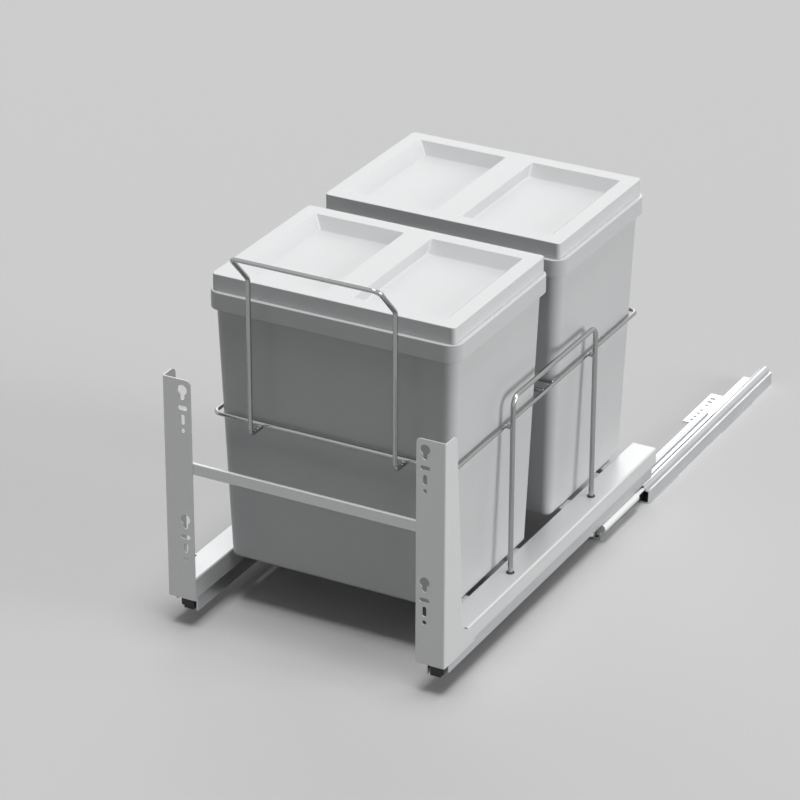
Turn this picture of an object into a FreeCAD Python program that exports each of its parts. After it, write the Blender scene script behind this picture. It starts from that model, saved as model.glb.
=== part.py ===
import FreeCAD, Part
import math
import os

# Pull-out waste bin: a sheet-steel frame on two floor-mounted slides carries two lift-out bins.
# Millimetres. X runs across the cabinet, +Y runs back into it and +Z runs up.
# The origin is on the cabinet floor, in the middle of the four floor screws.
# The frame stands pulled out, as in use. The right-hand pieces are drawn and the left ones mirrored.

cut_past = 1.0                  # cutting shapes run this far past the faces they cut
edge_find = 0.01                # an edge this near a level counts as lying in it

# Cabinet and travel
floor_screw_pitch = 352.0       # front floor screw to rear floor screw
floor_screw_setback = 37.0      # front floor screw behind the cabinet's front edge
door_gap = 3.0                  # door plane to cabinet edge when the unit is shut
travel = 402.0                  # how far the frame slides
rail_clearance = 0.3            # air between pieces that pass each other
seat_gap = 0.2                  # air under a piece that only rests in place

# Frame sheet
frame_width = 350.0             # over the outer faces of the side frames
frame_lift = 36.0               # lower end of the front brackets above the cabinet floor
sheet = 1.5
bend_radius = 2.2               # outside radius of a fold in the frame sheet
bracket_width = 35.7
bracket_height = 274.0
bracket_corner = 5.5
web_top_depth = 25.0
web_low_depth = 40.0
web_low_height = 85.0
web_corner = 8.0
foot_depth = 72.0
foot_step = 4.5
beam_width = 32.5
beam_height = 24.5
beam_front = 50.0               # front end of the beam's outer fold, behind the door plane
tongue_gap = 1.0                # beam's top to the web, ahead of that fold
beam_rear = 548.0
fold_relief = 6.0

# Hole groups in the front brackets
hole_inset = 25.0               # hole column from the bracket's outer face
hole_group_pitch = 160.0        # upper group to lower group
keyhole_height = 261.4          # upper keyhole above the bracket's lower end
keyhole_radius = 6.0
keyhole_neck_radius = 2.9
keyhole_neck_drop = 8.9
cross_slot_drop = 21.9
upright_slot_drop = 35.9
fixing_slot_length = 12.0
fixing_slot_width = 5.0
pilot_drop = 49.4
pilot_radius = 2.5

# Tie bar and cross slats
tie_bar_height = 13.6
tie_bar_depth = 4.0
tie_bar_low = 159.4             # above the bracket's lower end
tie_bar_lap = 12.0              # how far it laps behind each bracket
tie_bar_corner = 0.8
slat_width = 25.0
front_slat_near = 49.8          # slat centres, behind the front of the rim of the bin on them
front_slat_far = 175.0
rear_slat_near = 57.4
rear_slat_far = 170.3
slat_lip = 7.0

# Slide sections. Insets are measured inwards from the frame's outer face, heights from the floor.
plate = 1.5                     # cabinet rail sheet
channel_sheet = 1.2
plate_inset = 40.0              # inner edge of the rail's base
plate_rear_step = 7.0           # narrower behind the tab
race_leg_inset = 7.9            # upright that carries the cabinet race
leg_height = 17.8
leg_front_height = 14.5         # lower ahead of the channel, under the damper body
arch_radius = 4.8               # rounded top of the damper channel
ledge_height = 16.5
rail_overhang = 5.5             # rail's outer wall outside the frame's outer face
rail_length = 485.0
channel_length = 375.0
rail_setback = 3.0              # behind the cabinet's front edge
tab_depth = 9.7                 # how far a screw tab stands out from the base
tab_hole_inset = 1.0            # hole column from the base's inner edge
tab_rear_lead = 55.0            # rear tab's front end ahead of the rear floor screw
tab_rear_length = 89.0
tab_front_length = 30.0
tab_hole_radius = 2.0
tab_slot_length = 6.5
spare_pitch = 10.0              # spare holes and slots beside the rear floor screw
spare_hole_count = 4
spare_hole_gap = 16.0
spare_slot_count = 2
spare_slot_gap = 10.0
lip_width = 1.5
lip_front_length = 84.0         # lip from the channel's front end
lip_rear_length = 93.0
lip_rear_margin = 64.0          # rear lip to the rail's rear end
race_width = 3.2
race_low = 5.4
race_high = 17.6
inner_race_low = 12.0
inner_race_high = 18.0
inner_bridge = 4.8              # plate that carries the intermediate rail's own race, and its reach
bridge_sheet = 1.4
ball_gap = 1.3                  # race face to flange; the balls sit half sunk in both
flange = 1.6                    # rolled flanges over the balls
rolled_web = 1.2
flange_reach = 4.8
web_gap = 0.7                   # race face to the web that passes it
intermediate_lead = 5.0         # open, the intermediate rail stands this far forward of the cabinet rail
intermediate_length = 343.0
drawer_rail_low = 24.5
drawer_rail_inner_low = 15.0
drawer_rail_inset = 1.5         # drawer rail's outer face inside the frame's outer face
drawer_rail_width = 27.8
drawer_rail_front = 14.0        # behind the door plane
drawer_rail_length = 526.0
runner_trim = 2.0               # runner's rear end ahead of the drawer rail's
runner_lead = 1.0               # runner's front end behind the cap
cap_length = 18.0
cap_low = 15.5
cap_step = 0.5                  # air between the cap's stepped underside and the cabinet rail it passes
cap_inset = 3.0                 # cap to the drawer rail's inner wall
cap_outer_inset = 5.2           # cap to the outer wall
cap_inner_corner = 1.5
cap_outer_corner = 2.5
cap_top_corner = 1.0

# Balls and their cages
ball_radius = 1.0
ball_clearance = 0.05
ball_pitch = 30.0
cage_sheet = 0.3
cage_tongue = 0.5
outer_cage_setback = 100.0      # cage behind the front end of the cabinet race
outer_cage_length = 230.0
inner_cage_setback = 5.0        # cage behind the front end of the intermediate rail
inner_cage_length = 125.0
cage_end_margin = 15.0

# Soft-close damper
damper_radius = 5.5
damper_length = 94.0
damper_nose_gap = 2.0           # body to channel when the damper is pushed in
damper_wall = 0.8
damper_axis_height = 18.3
damper_seat_clearance = 0.08
damper_axis_offset = 0.9        # rod outside the middle of the arch
damper_rod_radius = 2.4
damper_rod_clearance = 0.06
damper_piston_length = 8.0
damper_piston_gap = 1.0         # piston to the tube's rear wall when the damper is drawn out
damper_stroke = 20.0
damper_end_wall = 4.0
damper_end_round = 0.6
damper_anchor_length = 15.0
damper_anchor_wall = 3.0        # anchor behind the rod's end
damper_rod_reach = 40.0         # how far the rod runs into the channel
cradle_length = 10.0
cradle_foot = 3.5               # cradle below the damper body
cradle_inset = 14.0             # from each end of the damper body

# Wires
ring_wire = 5.0
hoop_wire = 6.0
guard_wire = 5.5
ring_height = 206.5             # above the bracket's lower end
ring_front = 65.0
ring_rear = 533.0
ring_corner = 9.0
ring_gap = 4.0                  # ring to side hoop, bridged by the stubs
divider_places = [288.0, 313.0]
side_hoop_inset = 15.5          # from the frame's outer face
side_hoop_front = 188.9
side_hoop_rear = 398.6
side_hoop_top = 243.5
side_hoop_corner = 12.0
side_hoop_tail = 5.0            # leg below the beam's top face, through two sheets
guard_half_width = 90.3
guard_leg_place = 44.2
guard_bend_height = 390.0
guard_top_height = 428.0
guard_top_place = 8.0
guard_corner = 9.0
guard_stub_overlap = 2.0
grommet_radius = 4.8
grommet_height = 1.2

# Bins and lids
bin_pitch = 251.9
rim_side_gap = 20.0             # rim to the frame's outer face
rim_front = 60.5
rim_length = 226.9
rim_top = 355.8                 # above the bracket's lower end
rim_skirt = 21.0
rim_corner = 17.0
rim_overhang = 5.0
rim_round = 1.0
bin_taper = 10.6                # each side draws in this much from rim to base
bin_corner = 14.0
bin_base_corner = 11.0
bin_wall = 2.0
bin_base_round = 5.0
lid_inset = 5.3                 # lid edge inside the rim edge
lid_height = 19.3
lid_corner = 5.0
lid_edge_round = 0.6
lid_wall = 2.2
lid_plug_depth = 8.0
lid_plug_gap = 0.6
pocket_edge = 17.5              # lid edge to pocket
pocket_rib = 34.2
pocket_depth = 13.0
pocket_slope = 14.0
pocket_rib_slope = 1.5
pocket_corner = 2.5

# Places worked out from the sizes above
floor_screw_rear = floor_screw_pitch / 2
cabinet_front = -floor_screw_rear - floor_screw_setback
door_plane = cabinet_front - door_gap - travel
frame_edge = frame_width / 2
beam_top = frame_lift + beam_height
drawer_rail_top = beam_top - sheet
rail_front = cabinet_front + rail_setback
rail_rear = rail_front + rail_length
channel_front = rail_rear - channel_length
hole_column = frame_edge - hole_inset
plate_inner_edge = frame_edge - plate_inset
tab_inner_edge = plate_inner_edge - tab_depth
tab_hole_column = plate_inner_edge - tab_hole_inset
rail_outer = frame_edge + rail_overhang
race_leg_inner = frame_edge - race_leg_inset
race_leg_outer = race_leg_inner + channel_sheet
arch_centre = race_leg_inner + arch_radius
race_inner = race_leg_inner - race_width
intermediate_outer = race_leg_inner - rail_clearance
intermediate_inner = intermediate_outer - flange_reach
inner_race_outer = intermediate_inner - inner_bridge
inner_race_inner = inner_race_outer - race_width
runner_outer = inner_race_outer - rail_clearance
runner_inner = runner_outer - flange_reach
drawer_rail_outer = frame_edge - drawer_rail_inset
drawer_rail_inner = drawer_rail_outer - drawer_rail_width
drawer_rail_start = door_plane + drawer_rail_front
drawer_rail_end = drawer_rail_start + drawer_rail_length
slat_top = beam_top - sheet
damper_axis = arch_centre + damper_axis_offset
damper_rear = channel_front - damper_stroke - damper_nose_gap
damper_front = damper_rear - damper_length
intermediate_front = rail_front - intermediate_lead
side_hoop_place = frame_edge - side_hoop_inset
ring_side = side_hoop_place - hoop_wire / 2 - ring_gap - ring_wire / 2
rim_half_width = frame_edge - rim_side_gap
rear_rim_front = rim_front + bin_pitch
slat_centres = [rim_front + front_slat_near, rim_front + front_slat_far,
                rear_rim_front + rear_slat_near, rear_rim_front + rear_slat_far]


def box(x0, x1, y0, y1, z0, z1):
    """A block between two corners."""
    return Part.makeBox(x1 - x0, y1 - y0, z1 - z0, FreeCAD.Vector(x0, y0, z0))


def rod(start, end, radius):
    """A round bar from one point to another."""
    low = FreeCAD.Vector(*start)
    run = FreeCAD.Vector(*end) - low
    return Part.makeCylinder(radius, run.Length, low, run)


def outline(corners, place):
    """A closed wire through flat corners (a, b, radius), with an arc at each corner that has one."""
    edges = []
    ends = []
    count = len(corners)
    for index in range(count):
        here = FreeCAD.Vector(*place(corners[index][0], corners[index][1]))
        before = FreeCAD.Vector(*place(*corners[index - 1][:2]))
        after = FreeCAD.Vector(*place(*corners[(index + 1) % count][:2]))
        radius = corners[index][2] if len(corners[index]) > 2 else 0.0
        if radius <= 0:
            ends.append((here, here))
            continue
        back = (before - here).normalize()
        ahead = (after - here).normalize()
        half = back.getAngle(ahead) / 2
        cut = radius / math.tan(half)
        first = here + back * cut
        last = here + ahead * cut
        bisector = (back + ahead).normalize()
        middle = here + bisector * (radius / math.sin(half) - radius)
        edges.append(Part.Arc(first, middle, last).toShape())
        ends.append((first, last))
    for index in range(count):
        start = ends[index][1]
        end = ends[(index + 1) % count][0]
        if start.distanceToPoint(end) > 1e-6:
            edges.append(Part.makeLine(start, end))
    return Part.Wire(Part.__sortEdges__(edges))


def prism_along_y(corners, y0, y1):
    """Extrudes an outline of (x, z, radius) corners from y0 to y1."""
    wire = outline(corners, lambda a, b: (a, y0, b))
    return Part.Face(wire).extrude(FreeCAD.Vector(0, y1 - y0, 0))


def prism_along_x(corners, x0, x1):
    """Extrudes an outline of (y, z, radius) corners from x0 to x1."""
    wire = outline(corners, lambda a, b: (x0, a, b))
    return Part.Face(wire).extrude(FreeCAD.Vector(x1 - x0, 0, 0))


def prism_along_z(corners, z0, z1):
    """Extrudes an outline of (x, y, radius) corners from z0 to z1."""
    wire = outline(corners, lambda a, b: (a, b, z0))
    return Part.Face(wire).extrude(FreeCAD.Vector(0, 0, z1 - z0))


def bent_wire(points, radius, bend):
    """A round wire along straight runs joined by tangent arcs of one radius."""
    corners = [FreeCAD.Vector(*point) for point in points]
    edges = []
    last = corners[0]
    for index in range(1, len(corners) - 1):
        here = corners[index]
        back = (corners[index - 1] - here).normalize()
        ahead = (corners[index + 1] - here).normalize()
        half = back.getAngle(ahead) / 2
        cut = bend / math.tan(half)
        first = here + back * cut
        end = here + ahead * cut
        bisector = (back + ahead).normalize()
        middle = here + bisector * (bend / math.sin(half) - bend)
        edges.append(Part.makeLine(last, first))
        edges.append(Part.Arc(first, middle, end).toShape())
        last = end
    edges.append(Part.makeLine(last, corners[-1]))
    path = Part.Wire(edges)
    section = Part.Wire([Part.makeCircle(radius, corners[0], corners[1] - corners[0])])
    return path.makePipeShell([section], True, False)


def slot_along_y(centre_x, centre_z, length, width, along_x, y0, y1):
    """A round-ended slot cut through a plate that faces the front."""
    reach = (length - width) / 2
    dx = reach if along_x else 0.0
    dz = 0.0 if along_x else reach
    ends = [
        rod((centre_x - dx, y0, centre_z - dz), (centre_x - dx, y1, centre_z - dz), width / 2),
        rod((centre_x + dx, y0, centre_z + dz), (centre_x + dx, y1, centre_z + dz), width / 2),
    ]
    if along_x:
        middle = box(centre_x - dx, centre_x + dx, y0, y1, centre_z - width / 2, centre_z + width / 2)
    else:
        middle = box(centre_x - width / 2, centre_x + width / 2, y0, y1, centre_z - dz, centre_z + dz)
    return ends[0].fuse(ends + [middle])


def rounded_plan(x0, x1, y0, y1, z, radius):
    """A level rectangle with round corners, as a wire."""
    corners = [(x0, y0, radius), (x1, y0, radius), (x1, y1, radius), (x0, y1, radius)]
    return outline(corners, lambda a, b: (a, b, z))


def mirrored(shape):
    """The same piece for the left-hand side."""
    return shape.mirror(FreeCAD.Vector(0, 0, 0), FreeCAD.Vector(1, 0, 0))


def save(name, shape):
    """Writes one piece, after a check that its solids are sound."""
    solids = shape.Solids
    whole = solids[0] if len(solids) == 1 else Part.makeCompound(solids)
    if not whole.isValid() or not solids:
        print("unsound", name)
    whole.exportStep("parts/" + name + ".step")
    print(name, len(solids), round(whole.Volume), [round(v, 2) for v in (
        whole.BoundBox.XMin, whole.BoundBox.XMax, whole.BoundBox.YMin,
        whole.BoundBox.YMax, whole.BoundBox.ZMin, whole.BoundBox.ZMax)])


def save_pair(name, shape):
    """Writes the right-hand piece and its mirror image."""
    save(name + "_right", shape)
    save(name + "_left", mirrored(shape))


# Side frame: front bracket, web and beam folded from one sheet
def bracket_holes():
    """Two groups of door-fixing holes, one above the other."""
    y0 = door_plane - cut_past
    y1 = door_plane + sheet + cut_past
    cuts = []
    for group in range(2):
        top = frame_lift + keyhole_height - group * hole_group_pitch
        neck = top - keyhole_neck_drop
        cuts.append(rod((hole_column, y0, top), (hole_column, y1, top), keyhole_radius))
        cuts.append(rod((hole_column, y0, neck), (hole_column, y1, neck), keyhole_neck_radius))
        cuts.append(box(hole_column - keyhole_neck_radius, hole_column + keyhole_neck_radius,
                        y0, y1, neck, top))
        cuts.append(slot_along_y(hole_column, top - cross_slot_drop, fixing_slot_length,
                                 fixing_slot_width, True, y0, y1))
        cuts.append(slot_along_y(hole_column, top - upright_slot_drop, fixing_slot_length,
                                 fixing_slot_width, False, y0, y1))
        pilot = top - pilot_drop
        cuts.append(rod((hole_column, y0, pilot), (hole_column, y1, pilot), pilot_radius))
    return cuts


def side_frame():
    """Bracket and web are an L in plan; the beam is a channel with its open side down."""
    inner_bend = bend_radius - sheet
    bracket_inner = frame_edge - bracket_width
    top = frame_lift + bracket_height
    plan = [
        (bracket_inner, door_plane),
        (frame_edge, door_plane, bend_radius),
        (frame_edge, door_plane + foot_depth),
        (frame_edge - sheet, door_plane + foot_depth),
        (frame_edge - sheet, door_plane + sheet, inner_bend),
        (bracket_inner, door_plane + sheet),
    ]
    angle = prism_along_z(plan, frame_lift, top)
    side = [
        (door_plane - cut_past, frame_lift),
        (door_plane + foot_depth, frame_lift),
        (door_plane + foot_depth, beam_top - bend_radius),
        (door_plane + beam_front + fold_relief, beam_top - bend_radius),
        (door_plane + web_low_depth, beam_top + fold_relief, fold_relief / 2),
        (door_plane + web_low_depth, frame_lift + web_low_height),
        (door_plane + web_top_depth, top, web_corner),
        (door_plane - cut_past, top),
    ]
    front = [
        (bracket_inner, frame_lift),
        (frame_edge + cut_past, frame_lift),
        (frame_edge + cut_past, top),
        (bracket_inner, top, bracket_corner),
    ]
    angle = angle.common(prism_along_x(side, bracket_inner, frame_edge + cut_past))
    angle = angle.common(prism_along_y(front, door_plane - cut_past, door_plane + foot_depth + cut_past))
    beam_inner = frame_edge - beam_width
    section = [
        (beam_inner, frame_lift),
        (beam_inner, beam_top, bend_radius),
        (frame_edge, beam_top, bend_radius),
        (frame_edge, frame_lift + foot_step),
        (frame_edge - sheet, frame_lift + foot_step),
        (frame_edge - sheet, beam_top - sheet, inner_bend),
        (beam_inner + sheet, beam_top - sheet, inner_bend),
        (beam_inner + sheet, frame_lift),
    ]
    beam = prism_along_y(section, door_plane + sheet, door_plane + beam_rear)
    fold_start = door_plane + beam_front + fold_relief
    blank = box(frame_edge - sheet - tongue_gap, frame_edge + cut_past, door_plane, door_plane + beam_front,
                frame_lift - cut_past, beam_top + cut_past)
    relief = box(frame_edge - 2 * bend_radius, frame_edge + cut_past, door_plane, fold_start,
                 beam_top - bend_radius, beam_top + cut_past)
    frame = angle.fuse(beam.cut([blank, relief])).removeSplitter()
    for place in (side_hoop_front, side_hoop_rear):
        y = door_plane + place
        frame = frame.cut(rod((side_hoop_place, y, beam_top - side_hoop_tail),
                              (side_hoop_place, y, beam_top + cut_past), hoop_wire / 2))
    return frame.cut(bracket_holes())


def tie_bar():
    """A flat bar welded behind both front brackets."""
    reach = frame_edge - bracket_width + tie_bar_lap
    y0 = door_plane + sheet
    z0 = frame_lift + tie_bar_low
    corners = [
        (y0, z0, tie_bar_corner),
        (y0 + tie_bar_depth, z0, tie_bar_corner),
        (y0 + tie_bar_depth, z0 + tie_bar_height, tie_bar_corner),
        (y0, z0 + tie_bar_height, tie_bar_corner),
    ]
    return prism_along_x(corners, -reach, reach)


def cross_slat(centre):
    """A strip with turned-down lips, welded between the beams, that a bin stands on."""
    reach = frame_edge - beam_width
    y0 = door_plane + centre - slat_width / 2
    y1 = y0 + slat_width
    low = slat_top - slat_lip
    corners = [
        (y0, low),
        (y0, slat_top, bend_radius),
        (y1, slat_top, bend_radius),
        (y1, low),
        (y1 - sheet, low),
        (y1 - sheet, slat_top - sheet, bend_radius - sheet),
        (y0 + sheet, slat_top - sheet, bend_radius - sheet),
        (y0 + sheet, low),
    ]
    return prism_along_x(corners, -reach, reach)


# Slides
def cabinet_rail():
    """Floor plate, upright and damper channel rolled from one sheet, with screw tabs on the inside."""
    floor_part = box(plate_inner_edge, race_leg_outer, rail_front, rail_rear, 0, plate)
    upright = box(race_leg_inner, race_leg_outer, rail_front, channel_front + cut_past, 0, leg_front_height)
    rear_upright = box(race_leg_inner, race_leg_outer, channel_front, rail_rear, 0, leg_height)
    outer_block = box(race_leg_inner, rail_outer, channel_front, rail_rear, 0, ledge_height)
    outer_neck = box(race_leg_inner, arch_centre + arch_radius, channel_front, rail_rear, 0, leg_height)
    outer_arch = rod((arch_centre, channel_front, leg_height), (arch_centre, rail_rear, leg_height),
                     arch_radius)
    y0 = channel_front - cut_past
    y1 = rail_rear + cut_past
    inner_radius = arch_radius - channel_sheet
    inner_block = box(race_leg_outer, rail_outer - channel_sheet, y0, y1, plate, ledge_height - channel_sheet)
    inner_neck = box(race_leg_outer, arch_centre + inner_radius, y0, y1, plate, leg_height)
    inner_arch = rod((arch_centre, y0, leg_height), (arch_centre, y1, leg_height), inner_radius)
    channel = outer_block.fuse([outer_neck, outer_arch]).cut([inner_block, inner_neck, inner_arch])
    tab_rear_start = floor_screw_rear - tab_rear_lead
    tab_rear = box(tab_inner_edge, plate_inner_edge + cut_past, tab_rear_start,
                   tab_rear_start + tab_rear_length, 0, plate)
    front_screw = -floor_screw_rear
    tab_front = box(tab_inner_edge, plate_inner_edge + cut_past, front_screw - tab_front_length / 2,
                    front_screw + tab_front_length / 2, 0, plate)
    lip_rear_end = rail_rear - lip_rear_margin
    lip_spans = [(channel_front, channel_front + lip_front_length),
                 (lip_rear_end - lip_rear_length, lip_rear_end)]
    lips = [box(rail_outer - channel_sheet, rail_outer + lip_width, a, b, 0, channel_sheet)
            for a, b in lip_spans]
    rail = floor_part.fuse([upright, rear_upright, channel, tab_rear, tab_front] + lips).removeSplitter()
    rear_step = box(plate_inner_edge - cut_past, plate_inner_edge + plate_rear_step,
                    tab_rear_start + tab_rear_length, y1, -cut_past, plate + cut_past)
    cuts = [rear_step]
    places = [floor_screw_rear, front_screw]
    for index in range(spare_hole_count):
        places.append(floor_screw_rear - spare_hole_gap - index * spare_pitch)
    for y in places:
        cuts.append(rod((tab_hole_column, y, -cut_past), (tab_hole_column, y, plate + cut_past),
                        tab_hole_radius))
    reach = tab_slot_length / 2 - tab_hole_radius
    for index in range(spare_slot_count):
        y = floor_screw_rear + spare_slot_gap + index * spare_pitch
        for side in (-reach, reach):
            x = tab_hole_column + side
            cuts.append(rod((x, y, -cut_past), (x, y, plate + cut_past), tab_hole_radius))
        cuts.append(box(tab_hole_column - reach, tab_hole_column + reach, y - tab_hole_radius,
                        y + tab_hole_radius, -cut_past, plate + cut_past))
    return rail.cut(cuts)


def ball_levels(low, high):
    """Heights of the ball rows below and above a race bar."""
    return low - ball_gap / 2, high + ball_gap / 2


def race_bar(x0, x1, y0, y1, low, high):
    """A solid bar with a round groove above and below for the balls."""
    bar = box(x0, x1, y0, y1, low, high)
    middle = (x0 + x1) / 2
    grooves = []
    for height in ball_levels(low, high):
        grooves.append(rod((middle, y0 - cut_past, height), (middle, y1 + cut_past, height),
                           ball_radius + ball_clearance))
    return bar.cut(grooves)


def rolled_channel(x0, x1, y0, y1, race_middle, low, high):
    """A channel round a race bar that opens outwards, its flanges grooved for the balls."""
    floor = low - ball_gap - flange
    roof = high + ball_gap + flange
    web = box(x0, x0 + rolled_web, y0, y1, floor, roof)
    lower = box(x0, x1, y0, y1, floor, floor + flange)
    upper = box(x0, x1, y0, y1, roof - flange, roof)
    grooves = []
    for height in ball_levels(low, high):
        grooves.append(rod((race_middle, y0 - cut_past, height), (race_middle, y1 + cut_past, height),
                           ball_radius + ball_clearance))
    return web.fuse([lower, upper]).cut(grooves).removeSplitter()


def cabinet_race():
    """The fixed race bar, riveted along the upright."""
    return race_bar(race_inner, race_leg_inner, rail_front, rail_rear, race_low, race_high)


def intermediate_rail():
    """Hugs the cabinet race on one side; a plate on the other carries the race for the drawer runner."""
    y0 = intermediate_front
    y1 = y0 + intermediate_length
    race_middle = (race_inner + race_leg_inner) / 2
    hug = rolled_channel(intermediate_inner, intermediate_outer, y0, y1, race_middle, race_low, race_high)
    bar = race_bar(inner_race_inner, inner_race_outer, y0, y1, inner_race_low, inner_race_high)
    bridge_low = (inner_race_low + inner_race_high - bridge_sheet) / 2
    bridge = box(inner_race_outer, intermediate_inner, y0, y1, bridge_low, bridge_low + bridge_sheet)
    return hug.fuse([bar, bridge]).removeSplitter()


def drawer_rail():
    """An inverted channel under the beam; its inner wall reaches down to the runner."""
    inner_bend = bend_radius - sheet
    section = [
        (drawer_rail_inner, drawer_rail_inner_low),
        (drawer_rail_inner, drawer_rail_top, bend_radius),
        (drawer_rail_outer, drawer_rail_top, bend_radius),
        (drawer_rail_outer, drawer_rail_low),
        (drawer_rail_outer - sheet, drawer_rail_low),
        (drawer_rail_outer - sheet, drawer_rail_top - sheet, inner_bend),
        (drawer_rail_inner + sheet, drawer_rail_top - sheet, inner_bend),
        (drawer_rail_inner + sheet, drawer_rail_inner_low),
    ]
    rail = prism_along_y(section, drawer_rail_start, drawer_rail_end)
    for place in (side_hoop_front, side_hoop_rear):
        y = door_plane + place
        rail = rail.cut(rod((side_hoop_place, y, beam_top - side_hoop_tail - cut_past),
                            (side_hoop_place, y, drawer_rail_top + cut_past), hoop_wire / 2))
    return rail


def drawer_runner():
    """The rolled runner, joined to the drawer rail's inner wall by its own shelf."""
    race_middle = (inner_race_inner + inner_race_outer) / 2
    y0 = drawer_rail_start + cap_length + runner_lead
    y1 = drawer_rail_end - runner_trim
    runner = rolled_channel(runner_inner, runner_outer, y0, y1, race_middle, inner_race_low, inner_race_high)
    shelf = box(drawer_rail_inner + sheet, runner_inner + rolled_web, y0, y1,
                drawer_rail_inner_low, drawer_rail_inner_low + sheet)
    return runner.fuse(shelf).removeSplitter()


def front_cap():
    """A black plastic block in the drawer rail's front end, stepped to pass over the cabinet rail."""
    x0 = drawer_rail_inner + sheet + cap_inset
    x1 = drawer_rail_outer - sheet - cap_outer_inset
    y0 = drawer_rail_start
    step_place = race_inner - cap_step
    step_low = leg_height + cap_step
    corners = [
        (x0, cap_low, cap_inner_corner),
        (step_place, cap_low),
        (step_place, step_low),
        (x1, step_low, cap_outer_corner),
        (x1, drawer_rail_top - sheet, cap_top_corner),
        (x0, drawer_rail_top - sheet, cap_top_corner),
    ]
    return prism_along_y(corners, y0, y0 + cap_length)


def ball_places(start, length):
    """Places of one row of balls in a cage."""
    count = int((length - 2 * cage_end_margin) / ball_pitch) + 1
    return [start + cage_end_margin + index * ball_pitch for index in range(count)]


def balls(middle, start, length, levels):
    """Two rows of steel balls, one above the race and one below it."""
    solids = []
    for height in levels:
        for place in ball_places(start, length):
            solids.append(Part.makeSphere(ball_radius, FreeCAD.Vector(middle, place, height)))
    return Part.makeCompound(solids)


def ball_cage(race_face, middle, start, length, levels):
    """A thin strip beside the race with a tongue above and below, pierced for the balls."""
    strip_outer = race_face - (web_gap - cage_sheet) / 2
    strip_inner = strip_outer - cage_sheet
    tip = middle + ball_radius
    low = levels[0] - cage_tongue / 2
    high = levels[1] + cage_tongue / 2
    strip = box(strip_inner, strip_outer, start, start + length, low, high)
    lower = box(strip_inner, tip, start, start + length, low, low + cage_tongue)
    upper = box(strip_inner, tip, start, start + length, high - cage_tongue, high)
    holes = []
    for height in levels:
        for place in ball_places(start, length):
            holes.append(Part.makeSphere(ball_radius + ball_clearance, FreeCAD.Vector(middle, place, height)))
    return strip.fuse([lower, upper]).removeSplitter().cut(holes)


# Damper
def damper_body():
    """A tube with a closed front; its rear wall guides the rod."""
    y0 = damper_front
    y1 = damper_rear
    tube = rod((damper_axis, y0, damper_axis_height), (damper_axis, y1, damper_axis_height), damper_radius)
    tube = tube.makeFillet(damper_end_round, [edge for edge in tube.Edges if len(edge.Vertexes) == 1])
    chamber = rod((damper_axis, y0 + damper_end_wall, damper_axis_height),
                  (damper_axis, y1 - damper_end_wall, damper_axis_height), damper_radius - damper_wall)
    bore = rod((damper_axis, y1 - damper_end_wall - cut_past, damper_axis_height),
               (damper_axis, y1 + cut_past, damper_axis_height), damper_rod_radius + damper_rod_clearance)
    return tube.cut([chamber, bore])


def damper_rod():
    """The piston and its rod, which is held in the channel by the anchor."""
    piston_rear = damper_rear - damper_end_wall - damper_piston_gap
    piston = rod((damper_axis, piston_rear - damper_piston_length, damper_axis_height),
                 (damper_axis, piston_rear, damper_axis_height),
                 damper_radius - damper_wall - damper_rod_clearance)
    shaft = rod((damper_axis, piston_rear - cut_past, damper_axis_height),
                (damper_axis, channel_front + damper_rod_reach, damper_axis_height), damper_rod_radius)
    return piston.fuse(shaft).removeSplitter()


def damper_anchor():
    """A block pushed into the channel that grips the rod's end."""
    y1 = channel_front + damper_rod_reach + damper_anchor_wall
    y0 = y1 - damper_anchor_length
    inner_radius = arch_radius - channel_sheet
    block = box(race_leg_outer, rail_outer - channel_sheet, y0, y1, plate, ledge_height - channel_sheet)
    neck = box(race_leg_outer, arch_centre + inner_radius, y0, y1, plate, leg_height)
    crown = rod((arch_centre, y0, leg_height), (arch_centre, y1, leg_height), inner_radius)
    hole = rod((damper_axis, y0 - cut_past, damper_axis_height),
               (damper_axis, y1 - damper_anchor_wall, damper_axis_height), damper_rod_radius)
    return block.fuse([neck, crown]).removeSplitter().cut(hole)


def damper_cradle():
    """Two small saddles on the upright that the damper body slides in."""
    seat = rod((damper_axis, damper_front, damper_axis_height),
               (damper_axis, damper_rear, damper_axis_height), damper_radius + damper_seat_clearance)
    solids = []
    last = damper_length - cradle_inset - cradle_length
    for offset in (cradle_inset, last):
        y0 = damper_front + offset
        low = damper_axis_height - damper_radius - cradle_foot
        block = box(race_leg_outer, damper_axis, y0, y0 + cradle_length, low, damper_axis_height)
        solids.append(block.cut(seat))
    return Part.makeCompound(solids)


# Wirework
def wire_ring():
    """One closed ring round both bins, bent as two halves that meet at the front and rear."""
    x = ring_side
    z = frame_lift + ring_height
    y0 = door_plane + ring_front
    y1 = door_plane + ring_rear
    half = bent_wire([(0, y0, z), (x, y0, z), (x, y1, z), (0, y1, z)], ring_wire / 2, ring_corner)
    return half.fuse(mirrored(half)).removeSplitter()


def divider_wire(place, ring):
    """A straight wire between the two bins, butt-welded to the sides of the ring."""
    z = frame_lift + ring_height
    y = door_plane + place
    return rod((-ring_side, y, z), (ring_side, y, z), ring_wire / 2).cut(ring)


def ring_stubs(ring, hoop):
    """Four short wires that join the ring to the legs of the side hoops."""
    z = frame_lift + ring_height
    solids = []
    for place in (side_hoop_front, side_hoop_rear):
        y = door_plane + place
        stub = rod((ring_side, y, z), (side_hoop_place, y, z), ring_wire / 2).cut([ring, hoop])
        solids += [stub, mirrored(stub)]
    return Part.makeCompound(solids)


def side_hoop():
    """An upright hoop whose legs go down through the beam."""
    x = side_hoop_place
    low = beam_top - side_hoop_tail
    high = frame_lift + side_hoop_top
    y0 = door_plane + side_hoop_front
    y1 = door_plane + side_hoop_rear
    return bent_wire([(x, y0, low), (x, y0, high), (x, y1, high), (x, y1, low)],
                     hoop_wire / 2, side_hoop_corner)


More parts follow.
